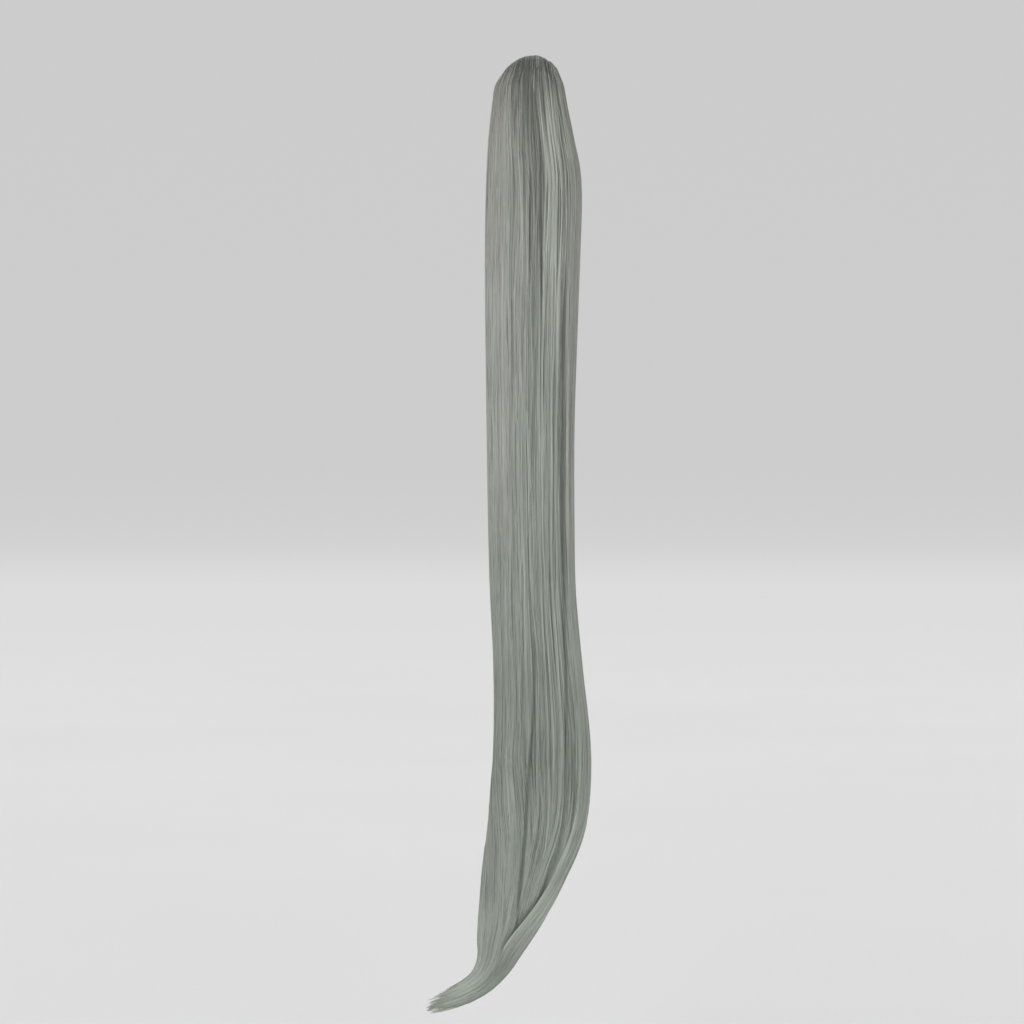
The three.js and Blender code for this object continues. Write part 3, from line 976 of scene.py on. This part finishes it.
@dataclass
class HairBody:
    """The full bundle under the surface strands, with the sewn head at its foot: one closed skin.

    The skin lies under the locks by under, and by under_arch more at the top of the arch. Between locks it
    lies lower by inset, a share of their thickness, and soften says how round it is under them. One in
    arch_share of its stations is in the arch. The head's sizes run up the clip's own direction, from its
    narrow foot to its shoulder.
    """

    fall: Fall
    sides: int = 160
    stations: int = 130
    arch_share: int = 3
    arch_end: float = 110.0
    under: float = 2.8
    under_arch: float = 2.6
    inset: float = 0.78
    soften: float = 0.55
    facing: float = 0.3
    least_half: float = 0.01
    slimmest_lock: float = 1.7
    lock_tip_share: float = 0.25
    end_short: float = 30.0
    taper: float = 100.0
    tip_share: float = 0.35
    head_foot: float = 39.4
    head_foot_depth: float = 2.6
    head_foot_width_share: float = 0.9
    head_foot_depth_share: float = 0.6
    head_foot_round: float = 0.6
    head_shoulder: float = 43.4
    head_shoulder_round: float = 0.8
    head_shoulder_step: float = 0.2
    head_squareness: float = 4.0
    map_margin: float = 0.01
    map_step: float = 0.004

    def ridges(self, cut: Slice, at: np.ndarray, around: np.ndarray) -> np.ndarray:
        """How far the locks raise the skin from the section's outline.

        Args:
            cut: The sections, one row each.
            at: Their places along the hair.
            around: Angles round each section.

        Returns:
            The offset straight out of the outline, one row for each section.
        """
        edge, _ = cut.outline(around)
        thick = LOCK_THICK * cut.full
        offset = -self.inset * thick * np.ones_like(edge[..., 0])
        bearings = [lock.course(self.fall, at, self.slimmest_lock, self.lock_tip_share) for lock in LOCKS]
        bearings.append(FoldLock(self.fall).course(at))
        for centre_angle, half_width, lift in bearings:
            theta = np.radians(centre_angle)[:, None]
            middle, up = cut.outline(theta)
            right = np.stack([up[..., 1], -up[..., 0]], -1)
            q = ((edge - middle) * right).sum(-1) / np.maximum(half_width, self.least_half)[:, None]
            near = np.cos(around - theta) > self.facing
            lens = self.soften * thick * (np.sqrt(np.clip(1 - q * q, 0, 1)) - 1) + lift[:, None] * cut.full
            offset = np.where(near & (np.abs(q) < 1), np.maximum(offset, lens), offset)
        return offset - (self.under + self.under_arch * crowned(at)[:, None]) * cut.full

    def head(self, around: np.ndarray) -> np.ndarray:
        """The rings of the sewn head.

        Args:
            around: Angles round a ring.

        Returns:
            The rings from its narrow foot up to the root, in the part's frame.
        """
        tilt = math.radians(self.fall.tilt)
        lift = np.array([0, -math.sin(tilt), math.cos(tilt)])
        fore = np.array([0, math.cos(tilt), math.sin(tilt)])
        full_depth = self.fall.root_half_depth
        rows = (
            (self.head_foot, self.head_foot_width_share, self.head_foot_depth * self.head_foot_depth_share),
            (self.head_foot + self.head_foot_round, 1.0, self.head_foot_depth),
            (self.head_shoulder, 1.0, full_depth - self.head_shoulder_step),
            (self.head_shoulder + self.head_shoulder_round, 1.0, full_depth),
        )
        cosine, sine = np.cos(around), np.sin(around)
        power = self.head_squareness
        square = (np.abs(cosine) ** power + np.abs(sine) ** power) ** (-1 / power)
        rings = []
        for height, share, depth in rows:
            x = (self.fall.root_half_width * share * cosine * square)[:, None] * np.array([1.0, 0, 0])
            y = (-depth * sine * square)[:, None]
            rings.append(x + fore * y + lift * height)
        return np.stack(rings)

    def rings(self, around: np.ndarray) -> tuple[np.ndarray, np.ndarray]:
        """The rings of the whole skin.

        Args:
            around: Angles round a ring.

        Returns:
            The rings from the head's foot to the end, in the part's frame, and their places along the map.
        """
        end = self.fall.length - self.end_short
        arch = np.linspace(0, self.arch_end, self.stations // self.arch_share, endpoint=False)
        at = np.concatenate([arch, np.linspace(self.arch_end, end, self.stations - len(arch))])
        cut = self.fall.slice(at[:, None])
        edge, up = cut.outline(around[None, :])
        sunk, _ = part_at_grooves(cut.point(edge), np.degrees(around)[None, :])
        offset = self.ridges(cut, at, around[None, :] * np.ones((len(at), 1))) - sunk * cut.full
        share = narrowing(end - at, self.taper, self.tip_share)[:, None, None]
        head = self.head(around)
        rings = np.concatenate([head, cut.point((edge + up * offset[..., None]) * share)])
        inner = 1 - 2 * self.map_margin
        start = len(head) * self.map_step
        along = np.concatenate([np.arange(len(head)) * self.map_step, start + inner * at / end])
        return rings, self.map_margin + inner * along

    def build(self) -> Piece:
        """Makes the mesh: rings joined in a grid, closed at both ends.

        Returns:
            The new piece.
        """
        rings, along = self.rings(np.linspace(0, 2 * np.pi, self.sides, endpoint=False))
        count, sides = rings.shape[:2]
        ends = np.stack([rings[0].mean(0), rings[-1].mean(0)])
        points = np.concatenate([rings.reshape(-1, 3), ends])
        here = np.arange(sides)
        after = (here + 1) % sides
        row = np.arange(count - 1)[:, None] * sides
        low, low_next = (row + here).ravel(), (row + after).ravel()
        quads = np.stack([low, low_next, low_next + sides, low + sides], 1)
        top = (count - 1) * sides
        first = np.stack([np.full(sides, count * sides), after, here], 1)
        last = np.stack([np.full(sides, count * sides + 1), top + here, top + after], 1)
        left, right = here / sides, (here + 1) / sides
        u0, u1 = np.tile(left, count - 1), np.tile(right, count - 1)
        v0, v1 = np.repeat(along[:-1], sides), np.repeat(along[1:], sides)
        caps = [
            corner_map(((here + 0.5) / sides, tip), (left, rim), (right, rim))
            for tip, rim in ((0.0, self.map_margin), (1.0, 1 - self.map_margin))
        ]
        maps = [corner_map((u0, v0), (u1, v0), (u1, v1), (u0, v1)), np.concatenate(caps)]
        return new_mesh("hair_body", points, [quads, np.concatenate([first, last])], maps)

    def dress(self, piece: Piece) -> None:
        """Gives the skin its finish and lets it stand for the CAD hair."""
        settle(piece, PaintedShadeFinish("hair_painted_shade").material(), Slot.HAIR, "hair")


@dataclass(frozen=True)
class WispRules:
    """How strands gather into wisps, in shares across a lock and millimetres along and out of it.

    runs gives the stations along a strand: how far each stretch of the hair reaches and how many steps it
    takes. The fields whose names end in lengths are the shortest and longest of a kind of wave along the
    hair. Those whose names end in tone are how much lighter or darker a wisp, a thread of it or a strand
    makes a strand, and painted shade makes strands darker where they lie deeper and out at the margins of
    their wisps, with painted light on the folded lock's outer edge. Ground strands lie evenly, deep under
    the wisps, stray ones stand proud, and tufts draw the wisps together at the end.
    """

    strands: float = 724.0
    smooth_below: float = 0.5
    smooth_share: float = 0.8
    wisps: float = 48.0
    fewest_wisps: int = 4
    radius: float = 0.4
    radius_range: Pair = (0.8, 1.25)
    root_radius: float = 0.7
    root_reach: float = 60.0
    point_radius: float = 0.3
    point_reach: float = 45.0
    runs: tuple[tuple[float, int], ...] = (
        (140.0, 24), (240.0, 7), (880.0, 20), (1080.0, 10), (math.inf, 11),
    )
    least_step: float = 0.5
    uneven_steps: float = 0.35
    ragged_start: float = 4.0
    grid_reach: float = 0.96
    grid_uneven: float = 0.3
    spread: float = 1.1
    own_spread: float = 0.55
    own_limit: float = 1.3
    threads: int = 5
    thread_width: float = 0.65
    edge: float = 0.985
    bend: float = 0.1
    bend_lengths: Pair = (600, 1400)
    ripple: float = 0.06
    ripple_lengths: Pair = (110, 240)
    crimp: float = 0.08
    crimp_lengths: Pair = (42, 75)
    crimp_reach: float = 70.0
    dive: float = 0.26
    dive_lengths: Pair = (120, 360)
    sway: float = 0.4
    sway_lengths: Pair = (240, 700)
    layer: float = 0.24
    depth: float = 0.2
    rise: float = 0.3
    rim: float = 0.24
    bury: float = 0.4
    overlap: float = 1.2
    soften: float = 0.32
    fold_soften: float = 0.25
    ground_share: float = 0.24
    ground_depth: float = 0.85
    ground_reach: float = 0.97
    ground_sway: float = 0.1
    stray_share: float = 0.03
    stray_lift: float = 0.5
    stray_sway: float = 4.0
    base_tone: float = 0.572
    shade_tone: float = 0.4
    wisp_tone: float = 0.065
    thread_tone: float = 0.05
    strand_tone: float = 0.11
    # Painted shade on strands that lie deeper and on those out at the margins of their wisps.
    deep_painted_shade: float = 0.11
    rim_painted_shade: float = 0.11
    # Painted light on the folded lock's outer edge.
    fold_edge_painted_light: float = 0.22
    tone_range: Pair = (0.05, 0.95)
    root_contrast: float = 3.6
    contrast_reach: float = 150.0
    slimmest: float = 4.0
    tip_share: float = 0.9
    tuft: float = 0.1
    tuft_reach: float = 45.0
    tuft_curve: float = 1.5
    tuft_spread: float = 0.8
    end_past: float = 5.0
    end_spread: float = 15.0
    end_uneven: float = 15.0


@dataclass
class Wave:
    """Slow waves along the hair, one for each wisp or strand."""

    reach: np.ndarray
    length: np.ndarray
    phase: np.ndarray

    @classmethod
    def draw(cls, random: np.random.Generator, count: int, reach: float, lengths: Pair) -> Self:
        """Draws waves.

        Args:
            random: Where the numbers come from.
            count: How many waves.
            reach: The usual height of a wave.
            lengths: The shortest and longest wave.

        Returns:
            The waves.
        """
        return cls(
            reach * random.normal(0, 1, count),
            random.uniform(*lengths, count),
            random.uniform(0, 2 * np.pi, count),
        )

    def along(self, at: np.ndarray, pick: np.ndarray) -> np.ndarray:
        """The height of the picked waves at rows of places, one row for each pick."""
        turn = 2 * np.pi * at / self.length[pick][:, None] + self.phase[pick][:, None]
        return self.reach[pick][:, None] * np.sin(turn)


@dataclass
class Bundle:
    """One lock's strands before they are laid on it.

    at holds places along the hair, one row for each strand, end where each strand ends, wisp which wisp it
    is in, tip the lock's own end, tufts how many points its end draws into, and parted whether it parts at
    the grooves.
    """

    at: np.ndarray
    end: np.ndarray
    wisp: np.ndarray
    tip: float
    tufts: int
    course: Callable[[np.ndarray], Bearing]
    look: Lock | FoldLock
    parted: bool

    @property
    def strands(self) -> int:
        """How many strands there are."""
        return len(self.wisp)

    @property
    def wisps(self) -> int:
        """How many wisps they are in."""
        return int(self.wisp.max()) + 1


@dataclass
class Drift:
    """How a lock's strands lie on it.

    across is their place from -1 to 1, below how deep they are, rim how far out in their wisp, and thread
    which of the wisp's threads they are in.
    """

    across: np.ndarray
    below: np.ndarray
    rim: np.ndarray
    thread: np.ndarray


class StrandSet:
    """Strands as closed three-sided tubes, gathered into one mesh.

    SPIN turns each tube against the one before. The map holds KINDS kinds of fibre side by side. A strand
    takes MAP_HALF of it to each side, and its caps take MAP_LEAN along it.
    """

    SIDES = 3
    SPIN = 2.4
    KINDS = 3
    MAP_HALF = 0.003
    MAP_LEAN = 0.002

    def __init__(self, fall: Fall, rules: WispRules, seed: int) -> None:
        """Starts an empty set with its own random numbers.

        Args:
            fall: The hair's course.
            rules: How the strands gather.
            seed: What the random numbers start from.
        """
        self.fall = fall
        self.rules = rules
        self.random = np.random.default_rng(seed)
        self.rings: list[np.ndarray] = []
        self.tones: list[np.ndarray] = []
        self.alongs: list[np.ndarray] = []

    def stations(self, start: np.ndarray, end: np.ndarray) -> np.ndarray:
        """Places along each strand, close together through the arch and the curved end.

        Args:
            start: Where each strand begins.
            end: Where each strand ends.

        Returns:
            One row of places for each strand.
        """
        columns = [start]
        for until, steps in self.rules.runs:
            begin = columns[-1]
            stop = np.maximum(np.minimum(until, end), begin + self.rules.least_step * steps)
            columns.extend(begin + (stop - begin) * k / steps for k in range(1, steps + 1))
        return self.stagger(np.stack(columns, 1))

    def stagger(self, at: np.ndarray) -> np.ndarray:
        """Shifts each strand's inner stations a little, so that neighbours don't bend in one line.

        Args:
            at: One row of places for each strand.

        Returns:
            The shifted places.
        """
        gap = np.diff(at, axis=1)
        shift = self.random.uniform(-self.rules.uneven_steps, self.rules.uneven_steps, (len(at), 1))
        moved = at.copy()
        moved[:, 1:-1] += shift * np.minimum(gap[:, :-1], gap[:, 1:])
        return moved

    def ends(self, tip: float, number: int, wisp: np.ndarray) -> np.ndarray:
        """Where strands end: wisps of uneven length, each with a ragged point.

        Args:
            tip: The lock's own end.
            number: How many wisps it has.
            wisp: Each strand's wisp.

        Returns:
            Each strand's end.
        """
        rules = self.rules
        ragged = np.abs(self.random.normal(0, rules.end_spread, number))[wisp]
        ragged += np.abs(self.random.normal(0, rules.end_uneven, len(wisp)))
        return tip + rules.end_past - ragged

    def lock(self, lock: Lock) -> None:
        """Adds the strands of one surface lock.

        Args:
            lock: The lock.
        """
        rules, random = self.rules, self.random
        tip = lock.tip * self.fall.length

        def course(at: np.ndarray) -> Bearing:
            """The lock's way at places along the hair, wide enough to lap over its neighbours."""
            angle, half_width, lift = lock.course(self.fall, at, rules.slimmest, rules.tip_share)
            return angle, half_width * rules.overlap, lift

        number = max(rules.fewest_wisps, round(lock.width * rules.wisps))
        density = rules.strands * (rules.smooth_share if lock.streak < rules.smooth_below else 1)
        wisp = random.integers(0, number, round(lock.width * density))
        end = self.ends(tip, number, wisp)
        at = self.stations(random.uniform(0, rules.ragged_start, len(wisp)), end)
        self.lay(Bundle(at, end, wisp, tip, 1, course, lock, True))

    def fold(self, lock: FoldLock) -> None:
        """Adds the strands of the lock that folds over the outer face.

        Args:
            lock: The fold.
        """
        tip = self.fall.length
        wisp = self.random.integers(0, lock.wisps, lock.strands)
        end = self.ends(tip, lock.wisps, wisp)
        begin = lock.start + self.random.uniform(0, lock.ragged_start, lock.strands)
        at = begin[:, None] + (end - begin)[:, None] * np.linspace(0, 1, lock.stations)
        self.lay(Bundle(self.stagger(at), end, wisp, tip, lock.tufts, lock.course, lock, False))

    def drift(self, bundle: Bundle) -> Drift:
        """Draws how strands wander across their lock in wisps and dive below each other.

        Args:
            bundle: The lock's strands.

        Returns:
            How they lie.
        """
        rules, random = self.rules, self.random
        at, wisp, streak = bundle.at, bundle.wisp, bundle.look.streak
        count, number = bundle.strands, bundle.wisps
        bend = Wave.draw(random, number, rules.bend * min(1.0, streak), rules.bend_lengths)
        ripple = Wave.draw(random, number, rules.ripple, rules.ripple_lengths)
        crimp = Wave.draw(random, number, rules.crimp, rules.crimp_lengths)
        dive = Wave.draw(random, number, rules.dive, rules.dive_lengths)
        sway = Wave.draw(random, count, rules.sway, rules.sway_lengths)
        grid = rules.grid_reach * evenly(np.arange(number), number)
        grid = grid + random.normal(0, rules.grid_uneven / number, number)
        middle = grid[wisp][:, None] + bend.along(at, wisp) + ripple.along(at, wisp)
        middle = middle + crimp.along(at, wisp) * np.exp(-at / rules.crimp_reach)
        stray = (random.random(count) < rules.stray_share)[:, None]
        own = np.clip(random.normal(0, rules.own_spread, count), -rules.own_limit, rules.own_limit)[:, None]
        rim = own ** 2
        thread = np.floor((own[:, 0] + rules.own_limit) / rules.thread_width).astype(int)
        own = own + sway.along(at, np.arange(count)) * np.where(stray, rules.stray_sway, 1.0)
        ground = random.random(count) < rules.ground_share
        even = rules.ground_reach * evenly(np.cumsum(ground) - 1, max(1, ground.sum()))
        ground = ground[:, None]
        level = even[:, None] + rules.ground_sway * own / number
        q = np.where(ground, level, middle + own * rules.spread / number)
        tuft = np.clip(np.floor((grid + 1) / 2 * bundle.tufts), 0, bundle.tufts - 1)
        point = rules.tuft_spread * evenly(tuft, bundle.tufts)
        drawn = rules.tuft * np.clip(1 - (bundle.tip - at) / rules.tuft_reach, 0, 1) ** rules.tuft_curve
        q = np.clip(q + (point[wisp][:, None] - q) * drawn, -rules.edge, rules.edge)
        layer = np.abs(random.normal(0, rules.layer, number))[wisp][:, None]
        below = np.maximum((layer + dive.along(at, wisp)) * streak, -rules.rise)
        below = below + np.abs(random.normal(0, rules.depth, count))[:, None] + rules.rim * rim * streak
        below = np.where(ground, rules.ground_depth, below - np.where(stray, rules.stray_lift, 0))
        return Drift(q, below, rim, thread)

    def tone(self, bundle: Bundle, drift: Drift) -> np.ndarray:
        """Draws how light strands are, with painted shade on deep strands and wisp margins, before
        partings.

        Args:
            bundle: The lock's strands.
            drift: How they lie.

        Returns:
            Their tones along the hair, one row for each strand.
        """
        rules, random, look, wisp = self.rules, self.random, bundle.look, bundle.wisp
        uneven = random.normal(0, rules.wisp_tone, bundle.wisps)[wisp]
        uneven = uneven + random.normal(0, rules.strand_tone, bundle.strands)
        threads = random.normal(0, rules.thread_tone, (bundle.wisps, rules.threads))
        uneven = uneven + threads[wisp, drift.thread]
        # Painted shade on strands out at the margins of their wisps and on those that lie deeper.
        uneven = (uneven[:, None] - rules.rim_painted_shade * drift.rim) * look.streak
        uneven = uneven - rules.deep_painted_shade * drift.below
        contrast = 1 + rules.root_contrast * np.exp(-bundle.at / rules.contrast_reach)
        return rules.base_tone + rules.shade_tone * look.shade_at(bundle.at) + uneven * contrast

    def radius(self, bundle: Bundle) -> np.ndarray:
        """Draws how thick strands are: finer at their roots, and drawn to points at their ends.

        Args:
            bundle: The lock's strands.

        Returns:
            Their radii along the hair, one row for each strand.
        """
        rules = self.rules
        size = rules.radius * self.random.uniform(*rules.radius_range, bundle.strands)[:, None]
        rooted = np.clip(bundle.at / rules.root_reach, 0, 1)
        left = np.clip((bundle.end[:, None] - bundle.at) / rules.point_reach, 0, 1)
        size = size * (rules.root_radius + (1 - rules.root_radius) * rooted)
        return size * (rules.point_radius + (1 - rules.point_radius) * left)

    def lay(self, bundle: Bundle) -> None:
        """Lays strands over a lock's rounded form and adds their tubes.

        Args:
            bundle: The lock's strands.
        """
        rules, look, at = self.rules, bundle.look, bundle.at
        drift = self.drift(bundle)
        tone = self.tone(bundle, drift)
        radius = self.radius(bundle)
        q = drift.across
        angle, half_width, lift = bundle.course(at)
        cut = self.fall.slice(at)
        around = np.radians(angle)
        around = around - q * half_width / cut.pace(around)
        edge, up = cut.outline(around)
        soften = rules.soften * min(1.0, look.streak) if bundle.parted else rules.fold_soften
        bulge = soften * LOCK_THICK * cut.full * (np.sqrt(1 - q * q) - 1)
        height = bulge + (lift - drift.below - rules.bury) * cut.full
        # Painted shade in the partings, and painted light on the lit locks.
        if bundle.parted:
            sunk, painted_groove_shade = part_at_grooves(cut.point(edge), np.degrees(around))
            height = height - sunk * cut.full
            tone = tone - painted_groove_shade
        else:
            # Painted light on the folded lock's outer edge.
            tone = tone + rules.fold_edge_painted_light * np.maximum(q, 0)
        chance = self.random.random(bundle.strands)[:, None]
        kind = (chance < look.warm).astype(float) + (chance < look.warm_low)
        tone = (kind + np.clip(tone, *rules.tone_range)) / self.KINDS
        self.tubes(at, cut, edge + up * height[..., None], radius)
        self.tones.append(tone)
        self.alongs.append(np.clip(at / self.fall.length, 0, 1))

    def tubes(self, at: np.ndarray, cut: Slice, place: np.ndarray, radius: np.ndarray) -> None:
        """Adds the rings of strands.

        Args:
            at: Places along the hair, one row for each strand.
            cut: The hair's sections at those places.
            place: The strands' section coordinates there.
            radius: Their radii there.
        """
        line = cut.point(place)
        spin = self.SPIN * np.arange(len(at))[:, None, None]
        turn = 2 * np.pi * np.arange(self.SIDES) / self.SIDES + spin
        ring = cut.across[..., None, :] * np.cos(turn)[..., None]
        ring = ring + cut.out[..., None, :] * np.sin(turn)[..., None]
        self.rings.append(line[..., None, :] + ring * radius[..., None, None])

    def build(self, name: str) -> Piece:
        """Makes one mesh of all the strands added so far.

        Args:
            name: The piece's name.

        Returns:
            The new piece.
        """
        points, quads, caps, quad_maps, cap_maps = [], [], [], [], []
        base = 0
        for rings, tone, along in zip(self.rings, self.tones, self.alongs):
            count, stations, sides = rings.shape[:3]
            index = base + np.arange(count * stations * sides).reshape(count, stations, sides)
            after = np.roll(index, -1, axis=2)
            quad = np.stack([index[:, :-1], after[:, :-1], after[:, 1:], index[:, 1:]], -1)
            quads.append(quad.reshape(-1, 4))
            caps.append(np.concatenate([index[:, 0, ::-1], index[:, -1]]))
            offset = np.linspace(-self.MAP_HALF, self.MAP_HALF, sides + 1)
            v = along[..., None]
            u0, u1 = tone[..., None] + offset[:-1], tone[..., None] + offset[1:]
            low, high = v[:, :-1], v[:, 1:]
            corners = ((u0[:, :-1], low), (u1[:, :-1], low), (u1[:, 1:], high), (u0[:, 1:], high))
            quad_maps.append(corner_map(*corners).reshape(-1, 4, 2))
            for column, lean in ((0, self.MAP_LEAN), (-1, -self.MAP_LEAN)):
                u, v_end = tone[:, column], along[:, column]
                cap = ((u - self.MAP_HALF, v_end), (u + self.MAP_HALF, v_end), (u, v_end + lean))
                cap_maps.append(corner_map(*cap))
            points.append(rings.reshape(-1, 3))
            base += index.size
        faces = [np.concatenate(quads), np.concatenate(caps)]
        maps = [np.concatenate(quad_maps), np.concatenate(cap_maps)]
        return new_mesh(name, np.concatenate(points), faces, maps)


@dataclass
class SurfaceLocks:
    """The fall's surface: strands in locks all round, and the lock that folds over the end."""

    fall: Fall
    outer: WispRules = WispRules()
    inner: WispRules = WispRules(
        strands=440.0,
        wisps=36.0,
        radius=0.48,
        runs=((140.0, 20), (240.0, 5), (880.0, 12), (1080.0, 6), (math.inf, 7)),
    )

    def build(self) -> list[Piece]:
        """Makes one piece for each stretch of the outline, and one for the fold.

        Returns:
            The new pieces.
        """
        made = []
        for number, face in enumerate(Face):
            rules = self.inner if face in (Face.INNER_LEFT, Face.INNER_RIGHT) else self.outer
            strands = StrandSet(self.fall, rules, SEED + number)
            for lock in LOCKS:
                if lock.face is face:
                    strands.lock(lock)
            made.append(strands.build(face.value))
        strands = StrandSet(self.fall, self.outer, SEED + len(Face))
        strands.fold(FoldLock(self.fall))
        made.append(strands.build("lock_folded"))
        return made

    def dress(self, pieces: list[Piece]) -> None:
        """Gives each piece the fibre finish.

        Args:
            pieces: The pieces.
        """
        finish = FibreFinish("hair_fibre").material()
        for piece in pieces:
            settle(piece, finish, Slot.HAIR)


@dataclass
class ClawClip:
    """The clasp under the hair: the CAD solid's form with its moulded edges rounded off."""

    node: str = "claw_clip"
    grain: float = 0.00042
    rounding: float = 0.5
    rounding_passes: int = 7
    kept_share: float = 0.28

    def build(self) -> Piece:
        """Makes a fine, rounded skin over a copy of the CAD solid.

        Returns:
            The new piece.
        """
        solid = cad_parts[self.node]
        rough = bpy.data.objects.new("clip_rough", solid.data.copy())
        rough.matrix_world = solid.matrix_world
        bpy.context.scene.collection.objects.link(rough)
        skin = rough.modifiers.new("skin", "REMESH")
        skin.mode = "VOXEL"
        skin.voxel_size = self.grain
        soft = rough.modifiers.new("rounding", "SMOOTH")
        soft.factor = self.rounding
        soft.iterations = self.rounding_passes
        lean = rough.modifiers.new("lean", "DECIMATE")
        lean.ratio = self.kept_share
        shape = rough.evaluated_get(bpy.context.evaluated_depsgraph_get())
        mesh = bpy.data.meshes.new_from_object(shape)
        mesh.materials.clear()
        mesh.shade_smooth()
        piece = bpy.data.objects.new("clip", mesh)
        piece.matrix_world = solid.matrix_world
        bpy.context.scene.collection.objects.link(piece)
        bpy.data.objects.remove(rough)
        return piece

    def dress(self, piece: Piece) -> None:
        """Gives the clip its moulded finish and lets it stand for the CAD solid."""
        settle(piece, PlasticFinish("clip_plastic").material(), Slot.CLIP, self.node)


@dataclass(frozen=True)
class Lamp:
    """One soft lamp: its strength, how wide it is, and where it stands, in degrees from the camera."""

    name: str
    strength: float
    softness: float
    turn: float
    elevation: float


@dataclass
class Studio:
    """Plain pale floor, soft light and the camera, in metres.

    sky holds how bright the surroundings are from below the horizon, 0, to straight up, 1.
    """

    floor_height: float = -1.2
    floor_radius: float = 30.0
    floor_sides: int = 96
    camera_back: float = 4.0
    plane: float = -0.08
    centre: Pair = (-0.0216, -0.48)
    frame_width: float = 1.2288
    sensor: float = 36.0
    sky_from: float = -0.1
    sky: tuple[Pair, ...] = (
        (0.0715, 0.72), (0.083, 0.64), (0.1, 0.61), (0.23, 0.605), (0.55, 0.42), (1.0, 0.28),
    )
    lamps: tuple[Lamp, ...] = (
        Lamp("key", 2.0, 50.0, -38.0, 22.0),
        Lamp("fill", 1.5, 60.0, 40.0, 20.0),
        Lamp("back", 1.1, 70.0, 180.0, 28.0),
    )

    def floor(self) -> None:
        """A wide round floor below the end of the hair."""
        here = np.arange(self.floor_sides)
        turn = 2 * np.pi * here / self.floor_sides
        ring = np.stack([np.cos(turn), np.sin(turn), 0 * turn], 1) * self.floor_radius / MM
        points = np.concatenate([ring, np.zeros((1, 3))]) + np.array([0, 0, self.floor_height / MM])
        faces = np.stack([np.full(len(here), len(here)), here, (here + 1) % len(here)], 1)
        floor = new_mesh("floor", points, [faces], [points[faces][..., :2] * MM])
        floor.data.materials.append(FloorFinish("studio_floor").material())

    def world(self) -> None:
        """Pale surroundings near the horizon that darken overhead."""
        world = bpy.data.worlds.new("studio")
        world.use_nodes = True
        bpy.context.scene.world = world
        tree = world.node_tree
        way = tree.nodes.new("ShaderNodeTexCoord")
        split = tree.nodes.new("ShaderNodeSeparateXYZ")
        ramp = tree.nodes.new("ShaderNodeValToRGB")
        stretch = tree.nodes.new("ShaderNodeMapRange")
        stretch.inputs["From Min"].default_value = self.sky_from
        stretch.inputs["From Max"].default_value = 1.0
        tree.links.new(way.outputs["Generated"], split.inputs["Vector"])
        tree.links.new(split.outputs["Z"], stretch.inputs["Value"])
        tree.links.new(stretch.outputs["Result"], ramp.inputs["Fac"])
        tree.links.new(ramp.outputs["Color"], tree.nodes["Background"].inputs["Color"])
        fill_ramp(ramp, tuple((place, (value, value, value)) for place, value in self.sky))

    def lights(self) -> None:
        """Wide soft lamps in front and behind."""
        for lamp in self.lamps:
            data = bpy.data.lights.new(lamp.name, "SUN")
            data.energy = lamp.strength
            data.angle = math.radians(lamp.softness)
            light = bpy.data.objects.new(lamp.name, data)
            light.rotation_euler = (math.radians(90 - lamp.elevation), 0, math.radians(lamp.turn))
            bpy.context.scene.collection.objects.link(light)

    def camera(self) -> None:
        """A level camera that looks at the outer face."""
        data = bpy.data.cameras.new("camera")
        data.sensor_width = self.sensor
        data.lens = self.sensor * self.camera_back / self.frame_width
        camera = bpy.data.objects.new("camera", data)
        camera.location = (self.centre[0], self.plane - self.camera_back, self.centre[1])
        camera.rotation_euler = (math.pi / 2, 0, 0)
        bpy.context.scene.collection.objects.link(camera)
        bpy.context.scene.camera = camera

    def build(self) -> None:
        """Sets up the whole studio."""
        self.floor()
        self.world()
        self.lights()
        self.camera()
        bpy.context.scene.view_settings.view_transform = "Standard"


def main() -> None:
    """Builds and dresses the pieces in order."""
    Studio().build()
    fall = Fall()
    log.info("length along the hair: %.0f mm", fall.length)
    body = HairBody(fall)
    body.dress(body.build())
    locks = SurfaceLocks(fall)
    locks.dress(locks.build())
    clip = ClawClip()
    clip.dress(clip.build())


if __name__ == "__main__":
    main()
